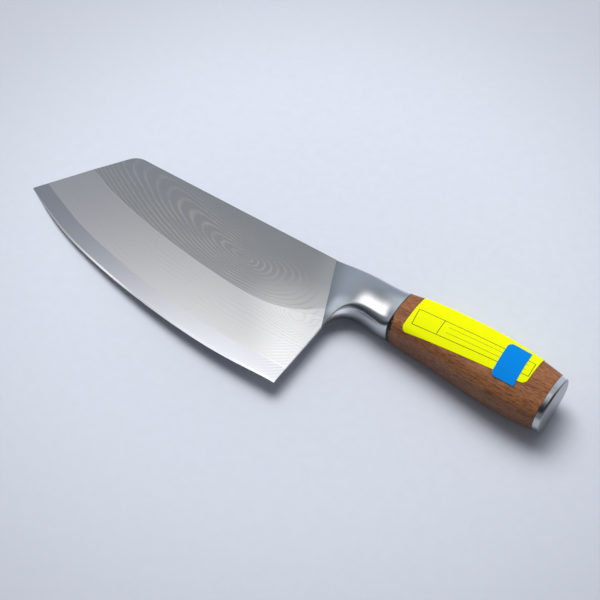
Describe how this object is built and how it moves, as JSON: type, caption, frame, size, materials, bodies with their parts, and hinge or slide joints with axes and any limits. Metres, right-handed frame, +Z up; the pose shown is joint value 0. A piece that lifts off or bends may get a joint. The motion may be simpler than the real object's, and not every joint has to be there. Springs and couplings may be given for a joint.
{
  "type": "chinese cleaver",
  "caption": "Broad rectangular kitchen cleaver with a slanted nose, forged collar, oval wooden handle, steel end cap and two blank paper labels.",
  "frame": {"origin": "centre of the footprint, on the surface that the knife lies on", "axes": "+X from the nose of the blade to the butt of the handle, +Y from the edge to the spine, +Z up out of the cheek that carries the labels"},
  "size_m": [0.3214, 0.0904, 0.027],
  "materials": {
    "blade_steel": "satin, with etched flowing lines",
    "collar_steel": "polished",
    "black_epoxy": "dark resin",
    "handle_wood": "oiled reddish brown hardwood",
    "rod_steel": "zinc plated",
    "clear_epoxy": "cured resin",
    "cap_steel": "polished rim, brushed end",
    "yellow_paper": "fluorescent paper with ruled lines",
    "blue_paper": "coated blue paper"
  },
  "bodies": {
    "root": {"blade": "blade_steel", "bolster": "collar_steel", "front_glue_line": "black_epoxy", "handle_grip": "handle_wood", "tang_rod": "rod_steel", "tang_epoxy": "clear_epoxy", "tang_washer": "rod_steel", "tang_nut": "rod_steel", "rear_glue_line": "black_epoxy", "end_cap": "cap_steel", "stock_label": "yellow_paper", "lot_tag": "blue_paper"}
  },
  "joints": []
}
